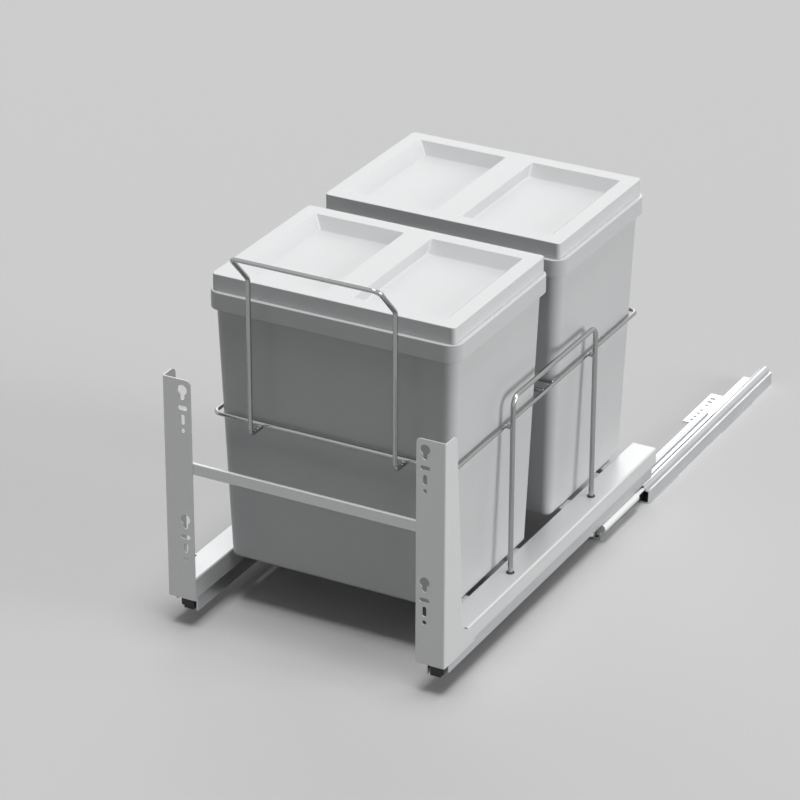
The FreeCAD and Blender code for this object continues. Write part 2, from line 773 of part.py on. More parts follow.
def hoop_grommets():
    """A thin black collar where each hoop leg enters the beam."""
    solids = []
    for side in (-1, 1):
        for place in (side_hoop_front, side_hoop_rear):
            x = side * side_hoop_place
            y = door_plane + place
            collar = rod((x, y, beam_top), (x, y, beam_top + grommet_height), grommet_radius)
            bore = rod((x, y, beam_top - cut_past), (x, y, beam_top + grommet_height + cut_past),
                       hoop_wire / 2)
            solids.append(collar.cut(bore))
    return Part.makeCompound(solids)


def front_hoop():
    """The guard and pull: stubs under the ring, legs up the front, then a bend forward to the top bar."""
    z = frame_lift + ring_height - ring_wire / 2 - guard_wire / 2
    leg = door_plane + guard_leg_place
    stub = door_plane + ring_front + guard_stub_overlap
    bend = frame_lift + guard_bend_height
    top = frame_lift + guard_top_height
    bar = door_plane + guard_top_place
    x = guard_half_width
    half = bent_wire([(x, stub, z), (x, leg, z), (x, leg, bend), (x, bar, top), (0, bar, top)],
                     guard_wire / 2, guard_corner)
    return half.fuse(mirrored(half)).removeSplitter()


# Bins and lids
def waste_bin(index):
    """A moulded bin: tapered shell with a rounded base and a turned-down rim."""
    front = door_plane + rim_front + index * bin_pitch
    rear = front + rim_length
    base = slat_top + seat_gap
    top = frame_lift + rim_top
    half = rim_half_width - rim_overhang
    low_half = half - bin_taper
    y0 = front + rim_overhang
    y1 = rear - rim_overhang
    lower = rounded_plan(-low_half, low_half, y0 + bin_taper, y1 - bin_taper, base, bin_base_corner)
    upper = rounded_plan(-half, half, y0, y1, top, bin_corner)
    shell = Part.makeLoft([lower, upper], True, True)
    foot = [edge for edge in shell.Edges if edge.BoundBox.ZMax < base + edge_find]
    shell = shell.makeFillet(bin_base_round, foot)
    slope = bin_taper / (top - base)
    draw = bin_wall + slope * bin_wall
    inner_low = rounded_plan(-low_half + draw, low_half - draw, y0 + bin_taper + draw, y1 - bin_taper - draw,
                             base + bin_wall, bin_base_corner - bin_wall)
    over = top + cut_past
    spread = slope * cut_past
    inner_high = rounded_plan(-half + bin_wall - spread, half - bin_wall + spread, y0 + bin_wall - spread,
                              y1 - bin_wall + spread, over, bin_corner - bin_wall)
    hollow = Part.makeLoft([inner_low, inner_high], True, True)
    floor_edges = [edge for edge in hollow.Edges if edge.BoundBox.ZMax < base + bin_wall + edge_find]
    hollow = hollow.makeFillet(bin_base_round - bin_wall, floor_edges)
    edge = rim_half_width
    outer = [(-edge, front, rim_corner), (edge, front, rim_corner), (edge, rear, rim_corner),
             (-edge, rear, rim_corner)]
    rim = prism_along_z(outer, top - rim_skirt, top)
    inner_edge = edge - bin_wall
    inner_corner = rim_corner - bin_wall
    inside = [(-inner_edge, front + bin_wall, inner_corner), (inner_edge, front + bin_wall, inner_corner),
              (inner_edge, rear - bin_wall, inner_corner), (-inner_edge, rear - bin_wall, inner_corner)]
    rim = rim.cut(prism_along_z(inside, top - rim_skirt - cut_past, top - bin_wall))
    crest = [item for item in rim.Edges if item.BoundBox.ZMin > top - edge_find]
    rim = rim.makeFillet(rim_round, crest)
    return shell.fuse(rim).cut(hollow).removeSplitter()


def pocket(x_outer, x_inner, y0, y1, top, shrink):
    """A tray pocket as a solid to cut: sloped on three sides, steep beside the rib."""
    sign = 1.0 if x_outer > x_inner else -1.0
    ends = []
    for depth, slope, steep in ((-cut_past, 0.0, 0.0), (pocket_depth, pocket_slope, pocket_rib_slope)):
        a = x_outer - sign * (slope + shrink)
        b = x_inner + sign * (steep + shrink)
        low = min(a, b)
        high = max(a, b)
        inward = slope + shrink
        ends.append(rounded_plan(low, high, y0 + inward, y1 - inward, top - depth, pocket_corner))
    return Part.makeLoft(ends, True, True)


def bin_lid(index):
    """A moulded lid that sits on the rim, with two tray pockets and a locating plug below."""
    front = door_plane + rim_front + lid_inset + index * bin_pitch
    rear = front + rim_length - 2 * lid_inset
    half = rim_half_width - lid_inset
    base = frame_lift + rim_top + seat_gap
    top = frame_lift + rim_top + lid_height
    outer = [(-half, front, lid_corner), (half, front, lid_corner), (half, rear, lid_corner),
             (-half, rear, lid_corner)]
    body = prism_along_z(outer, base, top)
    crest = [edge for edge in body.Edges if edge.BoundBox.ZMin > top - edge_find]
    body = body.makeFillet(lid_edge_round, crest)
    plug_inset = rim_overhang + bin_wall + lid_plug_gap
    plug_half = rim_half_width - plug_inset
    plug_front = front - lid_inset + plug_inset
    plug_rear = rear + lid_inset - plug_inset
    plug_corner = bin_corner - bin_wall
    plug = prism_along_z([(-plug_half, plug_front, plug_corner), (plug_half, plug_front, plug_corner),
                          (plug_half, plug_rear, plug_corner), (-plug_half, plug_rear, plug_corner)],
                         base - lid_plug_depth, base + cut_past)
    body = body.fuse(plug)
    inset = lid_wall
    cavity = [(-plug_half + inset, plug_front + inset, plug_corner - inset),
              (plug_half - inset, plug_front + inset, plug_corner - inset),
              (plug_half - inset, plug_rear - inset, plug_corner - inset),
              (-plug_half + inset, plug_rear - inset, plug_corner - inset)]
    hollow = prism_along_z(cavity, base - lid_plug_depth - cut_past, top - lid_wall)
    cuts = []
    trays = []
    y0 = front + pocket_edge
    y1 = rear - pocket_edge
    for sign in (-1, 1):
        x_outer = sign * (half - pocket_edge)
        x_inner = sign * pocket_rib / 2
        cuts.append(pocket(x_outer, x_inner, y0, y1, top, 0.0))
        tray_block = box(min(x_outer, x_inner) - lid_wall, max(x_outer, x_inner) + lid_wall,
                         y0 - lid_wall, y1 + lid_wall, top - pocket_depth - lid_wall, top - lid_wall)
        trays.append(tray_block.common(pocket(x_outer, x_inner, y0, y1, top - lid_wall, -lid_wall)))
    hollow = hollow.cut(trays)
    return body.cut(hollow).cut(cuts).removeSplitter()


os.makedirs("parts", exist_ok=True)

save_pair("cabinet_rail", cabinet_rail())
save_pair("cabinet_race", cabinet_race())
save_pair("damper_anchor", damper_anchor())
save_pair("damper_rod", damper_rod())
save_pair("damper_cradle", damper_cradle())
save_pair("damper_body", damper_body())

outer_cage_front = rail_front + outer_cage_setback
inner_cage_front = intermediate_front + inner_cage_setback
outer_middle = (race_inner + race_leg_inner) / 2
inner_middle = (inner_race_inner + inner_race_outer) / 2
outer_levels = ball_levels(race_low, race_high)
inner_levels = ball_levels(inner_race_low, inner_race_high)
save_pair("outer_ball_cage",
          ball_cage(race_inner, outer_middle, outer_cage_front, outer_cage_length, outer_levels))
save_pair("outer_balls", balls(outer_middle, outer_cage_front, outer_cage_length, outer_levels))
save_pair("intermediate_rail", intermediate_rail())
save_pair("inner_ball_cage",
          ball_cage(inner_race_inner, inner_middle, inner_cage_front, inner_cage_length, inner_levels))
save_pair("inner_balls", balls(inner_middle, inner_cage_front, inner_cage_length, inner_levels))

save_pair("side_frame", side_frame())
save_pair("drawer_rail", drawer_rail())
save_pair("drawer_runner", drawer_runner())
save_pair("front_cap", front_cap())
save("front_tie_bar", tie_bar())
for number, centre in enumerate(slat_centres, start=1):
    save("cross_slat_" + str(number), cross_slat(centre))

ring = wire_ring()
hoop = side_hoop()
save("wire_ring", ring)
save("divider_wire_front", divider_wire(divider_places[0], ring))
save("divider_wire_rear", divider_wire(divider_places[1], ring))
save("ring_stubs", ring_stubs(ring, hoop))
save_pair("side_hoop", hoop)
save("hoop_grommets", hoop_grommets())
save("front_hoop", front_hoop())

for index, name in enumerate(("front", "rear")):
    save(name + "_bin", waste_bin(index))
    save(name + "_lid", bin_lid(index))
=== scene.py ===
import math

import bmesh
import bpy
from mathutils import Matrix, Vector


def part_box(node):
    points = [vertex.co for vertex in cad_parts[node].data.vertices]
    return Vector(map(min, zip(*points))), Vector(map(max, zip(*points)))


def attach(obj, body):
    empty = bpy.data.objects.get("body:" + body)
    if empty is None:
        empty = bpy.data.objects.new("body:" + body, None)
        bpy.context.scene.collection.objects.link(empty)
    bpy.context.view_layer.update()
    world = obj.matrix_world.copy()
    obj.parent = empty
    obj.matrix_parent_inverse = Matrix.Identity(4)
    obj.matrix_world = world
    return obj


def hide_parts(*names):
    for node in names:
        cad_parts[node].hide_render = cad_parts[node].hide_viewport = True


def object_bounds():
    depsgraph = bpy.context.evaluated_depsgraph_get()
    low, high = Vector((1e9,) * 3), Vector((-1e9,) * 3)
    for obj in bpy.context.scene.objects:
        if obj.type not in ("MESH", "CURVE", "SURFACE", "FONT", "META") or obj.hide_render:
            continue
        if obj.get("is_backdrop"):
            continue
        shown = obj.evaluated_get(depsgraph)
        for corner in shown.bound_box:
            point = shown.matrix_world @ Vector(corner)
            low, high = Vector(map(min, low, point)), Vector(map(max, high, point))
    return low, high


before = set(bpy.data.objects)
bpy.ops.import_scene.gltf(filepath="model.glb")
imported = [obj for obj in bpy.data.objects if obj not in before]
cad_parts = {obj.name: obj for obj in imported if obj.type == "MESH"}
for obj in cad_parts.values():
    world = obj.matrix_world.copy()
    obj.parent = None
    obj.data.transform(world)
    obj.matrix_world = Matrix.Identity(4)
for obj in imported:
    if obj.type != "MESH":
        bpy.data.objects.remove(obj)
cad_low, cad_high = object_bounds()
mm = 0.001

# Cabinet rails
# Each is rolled from zinc-plated strip: a flat base, an upright that carries the race and a channel
# that takes the damper's rod. Screws through its tabs hold it down.

def new_group(name, inputs, outputs):
    """An empty shader node group with named value inputs and outputs."""
    group = bpy.data.node_groups.new(name, "ShaderNodeTree")
    for socket, value in inputs.items():
        made = group.interface.new_socket(name=socket, in_out="INPUT", socket_type="NodeSocketFloat")
        made.default_value = value
    for socket in outputs:
        group.interface.new_socket(name=socket, in_out="OUTPUT", socket_type="NodeSocketFloat")
    source = group.nodes.new("NodeGroupInput")
    result = group.nodes.new("NodeGroupOutput")
    return group, source, result


def stretched_noise(tree, stretch, scale, detail):
    """Noise on object coordinates, drawn out by a stretch on each axis. Scale is in features per metre."""
    place = tree.nodes.new("ShaderNodeTexCoord")
    mapping = tree.nodes.new("ShaderNodeMapping")
    mapping.inputs["Scale"].default_value = stretch
    noise = tree.nodes.new("ShaderNodeTexNoise")
    noise.inputs["Scale"].default_value = scale
    noise.inputs["Detail"].default_value = detail
    tree.links.new(place.outputs["Object"], mapping.inputs["Vector"])
    tree.links.new(mapping.outputs["Vector"], noise.inputs["Vector"])
    return noise


def spread(tree, value, low, high, to_low, to_high):
    """Maps a value from one span to another."""
    node = tree.nodes.new("ShaderNodeMapRange")
    node.inputs["From Min"].default_value = low
    node.inputs["From Max"].default_value = high
    node.inputs["To Min"].default_value = to_low
    node.inputs["To Max"].default_value = to_high
    tree.links.new(value, node.inputs["Value"])
    return node.outputs["Result"]


def make_rolled_streaks():
    """Fine streaks along the strip, left by rolling, over faint cloudy zinc."""
    group, source, result = new_group("rolled_streaks", {"Amount": 0.1}, ("Tone", "Height"))
    streak = stretched_noise(group, (1.0, 0.03, 1.0), 900.0, 3.0)
    cloud = stretched_noise(group, (1.0, 0.4, 1.0), 45.0, 3.0)
    mixed = group.nodes.new("ShaderNodeMath")
    mixed.operation = "ADD"
    group.links.new(streak.outputs["Fac"], mixed.inputs[0])
    group.links.new(cloud.outputs["Fac"], mixed.inputs[1])
    centred = spread(group, mixed.outputs["Value"], 0.6, 1.4, -1.0, 1.0)
    scaled = group.nodes.new("ShaderNodeMath")
    scaled.operation = "MULTIPLY"
    group.links.new(centred, scaled.inputs[0])
    group.links.new(source.outputs["Amount"], scaled.inputs[1])
    group.links.new(scaled.outputs["Value"], result.inputs["Tone"])
    group.links.new(streak.outputs["Fac"], result.inputs["Height"])
    return group


rolled_streaks = make_rolled_streaks()


def new_material(name, colour, roughness, metallic):
    """A material with its plain values on the shader itself."""
    made = bpy.data.materials.new(name)
    made.use_nodes = True
    shader = made.node_tree.nodes["Principled BSDF"]
    shader.inputs["Base Color"].default_value = (*colour, 1.0)
    shader.inputs["Roughness"].default_value = roughness
    shader.inputs["Metallic"].default_value = metallic
    return made, made.node_tree, shader


def use_group(tree, group, **values):
    """Places a node group in a material with its own values."""
    node = tree.nodes.new("ShaderNodeGroup")
    node.node_tree = group
    for name, value in values.items():
        node.inputs[name.replace("_", " ")].default_value = value
    return node


def tone_to_colour(tree, shader, tone, dark, light):
    """Base colour that runs from dark to light as the tone runs from -1 to 1."""
    share = spread(tree, tone, -1.0, 1.0, 0.0, 1.0)
    mix = tree.nodes.new("ShaderNodeMix")
    mix.data_type = "RGBA"
    mix.inputs["A"].default_value = (*dark, 1.0)
    mix.inputs["B"].default_value = (*light, 1.0)
    tree.links.new(share, mix.inputs["Factor"])
    tree.links.new(mix.outputs["Result"], shader.inputs["Base Color"])


def height_to_bump(tree, shader, height, depth, strength):
    """A bump from a height, depth in metres."""
    bump = tree.nodes.new("ShaderNodeBump")
    bump.inputs["Distance"].default_value = depth
    bump.inputs["Strength"].default_value = strength
    tree.links.new(height, bump.inputs["Height"])
    tree.links.new(bump.outputs["Normal"], shader.inputs["Normal"])


def make_zinc_steel():
    """Zinc-plated rolled steel."""
    made, tree, shader = new_material("zinc_steel", (0.6, 0.61, 0.62), 0.32, 1.0)
    skin = use_group(tree, rolled_streaks, Amount=0.9)
    tone_to_colour(tree, shader, skin.outputs["Tone"], (0.54, 0.55, 0.56), (0.66, 0.67, 0.68))
    rough = spread(tree, skin.outputs["Tone"], -1.0, 1.0, 0.36, 0.28)
    tree.links.new(rough, shader.inputs["Roughness"])
    height_to_bump(tree, shader, skin.outputs["Height"], 0.02 * mm, 0.3)
    return made


merge_distance = 0.002 * mm
flat_angle = math.radians(1.0)
bend_angle = math.radians(50.0)


def piece_from(mesh, name, material, sharp=60.0):
    """Turns a mesh into an object at the origin, shaded smooth round its bends and flat on its faces."""
    bmesh.ops.remove_doubles(mesh, verts=mesh.verts, dist=merge_distance)
    bmesh.ops.recalc_face_normals(mesh, faces=mesh.faces)
    data = bpy.data.meshes.new(name)
    mesh.to_mesh(data)
    mesh.free()
    data.materials.append(material)
    data.polygons.foreach_set("use_smooth", [True] * len(data.polygons))
    data.set_sharp_from_angle(angle=math.radians(sharp))
    made = bpy.data.objects.new(name, data)
    bpy.context.scene.collection.objects.link(made)
    even = made.modifiers.new("even_shading", "WEIGHTED_NORMAL")
    even.keep_sharp = True
    return made


def stands_for(piece, node, body):
    """The piece takes the node's place and moves with the body."""
    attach(piece, body)
    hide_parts(node)


def eased_copy(node, body, material, ease=0.25 * mm):
    """The node's own shape as one surface, its sharp edges eased as rolling and tumbling leave them."""
    mesh = bmesh.new()
    mesh.from_mesh(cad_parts[node].data)
    bmesh.ops.remove_doubles(mesh, verts=mesh.verts, dist=merge_distance)
    bmesh.ops.dissolve_limit(mesh, angle_limit=flat_angle, verts=mesh.verts, edges=mesh.edges,
                             use_dissolve_boundaries=False, delimit=set())
    if ease > 0:
        corners = [edge for edge in mesh.edges
                   if edge.is_manifold and edge.calc_face_angle() > bend_angle]
        bmesh.ops.bevel(mesh, geom=corners, offset=ease, offset_type="OFFSET", segments=2, profile=0.5,
                        affect="EDGES", material=-1)
    made = piece_from(mesh, node + "_finished", material)
    stands_for(made, node, body)
    return made


sides = ("left", "right")
race_ease = 0.15 * mm
zinc_steel = make_zinc_steel()
for side in sides:
    eased_copy("cabinet_rail_" + side, "cabinet_rails", zinc_steel)
    eased_copy("cabinet_race_" + side, "cabinet_rails", zinc_steel, race_ease)

# Ball cages and balls
# A pressed strip with a tongue above and below the race keeps two rows of hard steel balls apart.

def make_cage_steel():
    """Pressed spring strip, darker than the rails."""
    made, tree, shader = new_material("cage_steel", (0.42, 0.42, 0.43), 0.3, 1.0)
    skin = use_group(tree, rolled_streaks, Amount=0.6)
    tone_to_colour(tree, shader, skin.outputs["Tone"], (0.36, 0.36, 0.37), (0.48, 0.48, 0.49))
    return made


def make_ball_steel():
    """Polished bearing steel with a trace of grease that dulls it in patches."""
    made, tree, shader = new_material("ball_steel", (0.78, 0.78, 0.79), 0.08, 1.0)
    grease = stretched_noise(tree, (1.0, 1.0, 1.0), 400.0, 2.0)
    rough = spread(tree, grease.outputs["Fac"], 0.4, 0.65, 0.06, 0.22)
    tree.links.new(rough, shader.inputs["Roughness"])
    return made


cage_steel = make_cage_steel()
ball_steel = make_ball_steel()
for side in sides:
    for layer in ("outer", "inner"):
        body = layer + "_cage_" + side
        eased_copy(layer + "_ball_cage_" + side, body, cage_steel, 0.0)
        eased_copy(layer + "_balls_" + side, body, ball_steel, 0.0)

# Intermediate rails
# Rolled and welded from the same zinc-plated strip. Each runs on the balls of the cabinet race on one
# side and carries the race for the drawer runner on the other.
for side in sides:
    eased_copy("intermediate_rail_" + side, "intermediate_" + side, zinc_steel)

# Dampers
# A drawn tube slides over a ground rod. Moulded saddles on the rail's upright guide the tube, and a
# moulded block in the channel grips the rod.

def make_fine_grain():
    """Eroded grain of moulded plastic and a faint slow change of tone."""
    group, source, result = new_group("moulded_grain", {"Grain Scale": 1600.0, "Cloud Scale": 9.0},
                                      ("Grain", "Cloud"))
    place = group.nodes.new("ShaderNodeTexCoord")
    for name, detail, output in (("Grain Scale", 4.0, "Grain"), ("Cloud Scale", 2.0, "Cloud")):
        noise = group.nodes.new("ShaderNodeTexNoise")
        noise.inputs["Detail"].default_value = detail
        group.links.new(place.outputs["Object"], noise.inputs["Vector"])
        group.links.new(source.outputs[name], noise.inputs["Scale"])
        group.links.new(noise.outputs["Fac"], result.inputs[output])
    return group


moulded_grain = make_fine_grain()


def make_moulded(name, dark, light, roughness, grain_depth):
    """Moulded plastic: satin, finely grained, its tone and gloss drifting slightly."""
    middle = tuple((a + b) / 2 for a, b in zip(dark, light))
    made, tree, shader = new_material(name, middle, roughness, 0.0)
    skin = use_group(tree, moulded_grain)
    tone = spread(tree, skin.outputs["Cloud"], 0.15, 0.85, -1.0, 1.0)
    tone_to_colour(tree, shader, tone, dark, light)
    rough = spread(tree, skin.outputs["Cloud"], 0.15, 0.85, roughness - 0.04, roughness + 0.05)
    tree.links.new(rough, shader.inputs["Roughness"])
    height_to_bump(tree, shader, skin.outputs["Grain"], grain_depth, 0.2)
    return made


def make_damper_steel():
    """Bright drawn tube and ground rod."""
    made, tree, shader = new_material("damper_steel", (0.86, 0.86, 0.86), 0.36, 0.5)
    skin = use_group(tree, rolled_streaks, Amount=0.5)
    tone_to_colour(tree, shader, skin.outputs["Tone"], (0.83, 0.83, 0.83), (0.89, 0.89, 0.89))
    return made


def turned(mesh, profile, centre, axis, across, steps=32):
    """A turned form: (radius, height) places of a profile, spun a full turn about an axis."""
    places = [centre + across * radius + axis * height for radius, height in profile]
    verts = [mesh.verts.new(place) for place in places]
    edges = [mesh.edges.new(pair) for pair in zip(verts, verts[1:])]
    bmesh.ops.spin(mesh, geom=verts + edges, cent=centre, axis=axis, angle=2 * math.pi, steps=steps,
                   use_merge=True)


tube_wall = 0.8 * mm
tube_guide = 2.46 * mm
tube_end_wall = 4.0 * mm
tube_round = 0.6 * mm
piston_length = 8.0 * mm
rod_shaft = 2.4 * mm
rod_ease = 0.3 * mm


def make_damper(side):
    """The tube with its closed front and guided rear, and the rod with its piston."""
    low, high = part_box("damper_body_" + side)
    front = Vector(((low.x + high.x) / 2, low.y, (low.z + high.z) / 2))
    along = Vector((0.0, 1.0, 0.0))
    up = Vector((0.0, 0.0, 1.0))
    length = high.y - low.y
    radius = (high.z - low.z) / 2
    bore = radius - tube_wall
    nick = 0.3 * tube_round
    inner_rear = length - tube_end_wall
    tube = bmesh.new()
    turned(tube, [(0.0, 0.0), (radius - tube_round, 0.0), (radius - nick, nick), (radius, tube_round),
                  (radius, length - tube_round), (radius - nick, length - nick),
                  (radius - tube_round, length), (tube_guide, length), (tube_guide, inner_rear),
                  (bore, inner_rear), (bore, tube_end_wall), (0.0, tube_end_wall)], front, along, up)
    stands_for(piece_from(tube, "damper_tube_" + side, damper_steel, 40.0),
               "damper_body_" + side, "damper_" + side)
    low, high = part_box("damper_rod_" + side)
    start = Vector((front.x, low.y, front.z))
    length = high.y - low.y
    head = (high.z - low.z) / 2
    rod = bmesh.new()
    turned(rod, [(0.0, 0.0), (head - rod_ease, 0.0), (head, rod_ease), (head, piston_length),
                 (rod_shaft, piston_length), (rod_shaft, length - rod_ease), (rod_shaft - rod_ease, length),
                 (0.0, length)], start, along, up)
    stands_for(piece_from(rod, "damper_piston_" + side, damper_steel, 40.0),
               "damper_rod_" + side, "cabinet_rails")


block_ease = 0.3 * mm
damper_steel = make_damper_steel()
black_plastic = make_moulded("black_plastic", (0.012, 0.012, 0.013), (0.022, 0.022, 0.023), 0.45, 0.03 * mm)
for side in sides:
    make_damper(side)
    eased_copy("damper_cradle_" + side, "cabinet_rails", black_plastic, block_ease)
    eased_copy("damper_anchor_" + side, "cabinet_rails", black_plastic, block_ease)

# Drawer rails, runners and caps
# The drawer rail is an inverted channel screwed up into the beam, with the rolled runner hung from its
# inner wall. A black plastic block is pushed into its front end.
for side in sides:
    eased_copy("drawer_rail_" + side, "frame", zinc_steel)
    eased_copy("drawer_runner_" + side, "frame", zinc_steel)
    eased_copy("front_cap_" + side, "frame", black_plastic, block_ease)

# Side frames, tie bar and cross slats
# Folded from 1.5 mm sheet and coated silver. The bracket, web and beam of each side are one blank; the
# tie bar and the slats are welded in before coating.

def make_silver_coat():
    """Silver powder coat: a fine orange peel and tiny metal flakes under a satin skin."""
    made, tree, shader = new_material("silver_coat", (0.68, 0.685, 0.69), 0.42, 0.45)
    peel = stretched_noise(tree, (1.0, 1.0, 1.0), 700.0, 2.0)
    flake = stretched_noise(tree, (1.0, 1.0, 1.0), 5200.0, 1.0)
    tone = spread(tree, flake.outputs["Fac"], 0.3, 0.7, -1.0, 1.0)
    tone_to_colour(tree, shader, tone, (0.64, 0.645, 0.65), (0.72, 0.725, 0.73))
    height_to_bump(tree, shader, peel.outputs["Fac"], 0.03 * mm, 0.35)
    return made


coat_ease = 0.3 * mm
silver_coat = make_silver_coat()
for node in ("side_frame_left", "side_frame_right", "front_tie_bar",
             "cross_slat_1", "cross_slat_2", "cross_slat_3", "cross_slat_4"):
    eased_copy(node, "frame", silver_coat, coat_ease)

# Wirework
# Drawn steel wire, bent cold and welded: the ring round the bins with its dividers and stubs, the side
# hoops in their black collars and the front guard that is also the pull.

def make_wire_steel():
    """Drawn wire with a satin plated skin."""
    made, tree, shader = new_material("wire_steel", (0.4, 0.4, 0.405), 0.16, 1.0)
    skin = stretched_noise(tree, (1.0, 1.0, 1.0), 900.0, 3.0)
    tone = spread(tree, skin.outputs["Fac"], 0.3, 0.7, -1.0, 1.0)
    tone_to_colour(tree, shader, tone, (0.37, 0.37, 0.375), (0.43, 0.43, 0.435))
    rough = spread(tree, skin.outputs["Fac"], 0.3, 0.7, 0.12, 0.2)
    tree.links.new(rough, shader.inputs["Roughness"])
    height_to_bump(tree, shader, skin.outputs["Fac"], 0.01 * mm, 0.2)
    return made


def edges_among(verts):
    """The edges that join these vertices to each other."""
    kept = set(verts)
    return [edge for edge in {edge for vert in verts for edge in vert.link_edges}
            if edge.verts[0] in kept and edge.verts[1] in kept]


def wire_along(mesh, points, radius, bend, closed=False, around=20, steps=8):
    """A round wire drawn along straight runs and turned round each corner."""
    here = Vector(points[0])
    ahead = (Vector(points[1]) - here).normalized()
    facing = Matrix.Translation(here) @ ahead.to_track_quat("Z", "Y").to_matrix().to_4x4()
    ring = edges_among(bmesh.ops.create_circle(mesh, segments=around, radius=radius, matrix=facing)["verts"])
    if not closed:
        bmesh.ops.contextual_create(mesh, geom=ring)
    for index in range(1, len(points)):
        corner = Vector(points[index])
        last = index == len(points) - 1
        run = corner - here
        ahead = run.normalized()
        turn = 0.0
        if not last:
            onward = (Vector(points[index + 1]) - corner).normalized()
            turn = ahead.angle(onward)
            run -= ahead * bend * math.tan(turn / 2)
        made = bmesh.ops.extrude_edge_only(mesh, edges=ring)
        verts = [item for item in made["geom"] if isinstance(item, bmesh.types.BMVert)]
        bmesh.ops.translate(mesh, verts=verts, vec=run)
        ring = edges_among(verts)
        here = here + run
        if not last:
            inward = (onward - ahead * ahead.dot(onward)).normalized()
            made = bmesh.ops.spin(mesh, geom=verts + ring, cent=here + inward * bend,
                                  axis=ahead.cross(onward), angle=turn, steps=steps, use_merge=False)
            verts = [item for item in made["geom_last"] if isinstance(item, bmesh.types.BMVert)]
            ring = edges_among(verts)
            here = corner + onward * bend * math.tan(turn / 2)
    if not closed:
        bmesh.ops.contextual_create(mesh, geom=ring)


def weld_bead(mesh, place, size):
    """A small bead where two wires are welded, flattened a little upwards."""
    shape = Matrix.Translation(place) @ Matrix.Diagonal((size, size, size * 0.85, 1.0))
    bmesh.ops.create_uvsphere(mesh, u_segments=16, v_segments=10, radius=1.0, matrix=shape)


ring_bend = 9.0 * mm
wire_steel = make_wire_steel()
low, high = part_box("wire_ring")
ring_radius = (high.z - low.z) / 2
ring_level = (high.z + low.z) / 2
ring_side = high.x - ring_radius
ring_front = low.y + ring_radius
ring_rear = high.y - ring_radius
ring_mesh = bmesh.new()
wire_along(ring_mesh, [(0.0, ring_front, ring_level), (ring_side, ring_front, ring_level),
                       (ring_side, ring_rear, ring_level), (-ring_side, ring_rear, ring_level),
                       (-ring_side, ring_front, ring_level), (0.0, ring_front, ring_level)],
           ring_radius, ring_bend, closed=True)
stands_for(piece_from(ring_mesh, "bin_ring", wire_steel), "wire_ring", "frame")

divider_bead = 1.22 * ring_radius
divider_bead_x = 0.985 * ring_side
for node in ("divider_wire_front", "divider_wire_rear"):
    low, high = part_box(node)
    y = (low.y + high.y) / 2
    divider_mesh = bmesh.new()
    wire_along(divider_mesh, [(-ring_side, y, ring_level), (ring_side, y, ring_level)], ring_radius, 0.0)
    for x in (-divider_bead_x, divider_bead_x):
        weld_bead(divider_mesh, Vector((x, y, ring_level)), divider_bead)
    stands_for(piece_from(divider_mesh, node.replace("wire", "rod"), wire_steel), node, "frame")

hoop_bend = 12.0 * mm
hoop_places = []
for side in sides:
    low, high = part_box("side_hoop_" + side)
    hoop_radius = (high.x - low.x) / 2
    hoop_x = (high.x + low.x) / 2
    front_leg = low.y + hoop_radius
    rear_leg = high.y - hoop_radius
    crown = high.z - hoop_radius
    hoop_mesh = bmesh.new()
    wire_along(hoop_mesh, [(hoop_x, front_leg, low.z), (hoop_x, front_leg, crown), (hoop_x, rear_leg, crown),
                           (hoop_x, rear_leg, low.z)], hoop_radius, hoop_bend)
    stands_for(piece_from(hoop_mesh, "hoop_" + side, wire_steel), "side_hoop_" + side, "frame")
    hoop_places += [(hoop_x, front_leg), (hoop_x, rear_leg)]

ring_bead = 1.2 * ring_radius
ring_bead_share = 1.005
hoop_bead = 1.35 * ring_radius
hoop_bead_share = 0.994
stub_mesh = bmesh.new()
for x, y in hoop_places:
    inner = math.copysign(ring_side, x)
    wire_along(stub_mesh, [(inner, y, ring_level), (x, y, ring_level)], ring_radius, 0.0)
    for place, size in ((inner * ring_bead_share, ring_bead), (x * hoop_bead_share, hoop_bead)):
        weld_bead(stub_mesh, Vector((place, y, ring_level)), size)
stands_for(piece_from(stub_mesh, "hoop_stubs", wire_steel), "ring_stubs", "frame")

low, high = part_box("hoop_grommets")
collar_mesh = bmesh.new()
collar_radius = 4.8 * mm
collar_height = high.z - low.z
collar_crown = ((collar_radius, 0.5 * collar_height), (collar_radius - 0.2 * mm, 0.85 * collar_height),
                (collar_radius - 0.6 * mm, collar_height))
for x, y in hoop_places:
    turned(collar_mesh, [(hoop_radius, 0.0), (collar_radius, 0.0), *collar_crown,
                         (hoop_radius, collar_height), (hoop_radius, 0.0)],
           Vector((x, y, low.z)), Vector((0.0, 0.0, 1.0)), Vector((1.0, 0.0, 0.0)))
stands_for(piece_from(collar_mesh, "hoop_collars", black_plastic, 50.0),
           "hoop_grommets", "frame")

low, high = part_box("front_hoop")
guard_radius = 5.5 * mm / 2
guard_reach = 36.2 * mm
guard_upright = 188.75 * mm
guard_turn = 9.0 * mm
guard_bead = 1.1 * guard_radius
guard_x = high.x - guard_radius
guard_low = ring_level - ring_radius - guard_radius
guard_leg = low.y + guard_reach + guard_radius
guard_bend = guard_low + guard_upright
guard_top = high.z - guard_radius
guard_bar = low.y + guard_radius
guard_mesh = bmesh.new()
wire_along(guard_mesh, [(-guard_x, high.y, guard_low), (-guard_x, guard_leg, guard_low),
                        (-guard_x, guard_leg, guard_bend), (-guard_x, guard_bar, guard_top),
                        (guard_x, guard_bar, guard_top), (guard_x, guard_leg, guard_bend),
                        (guard_x, guard_leg, guard_low), (guard_x, high.y, guard_low)],
           guard_radius, guard_turn)
for x in (-guard_x, guard_x):
    weld_bead(guard_mesh, Vector((x, ring_front, (guard_low + ring_level) / 2)), guard_bead)
stands_for(piece_from(guard_mesh, "front_guard", wire_steel), "front_hoop", "frame")

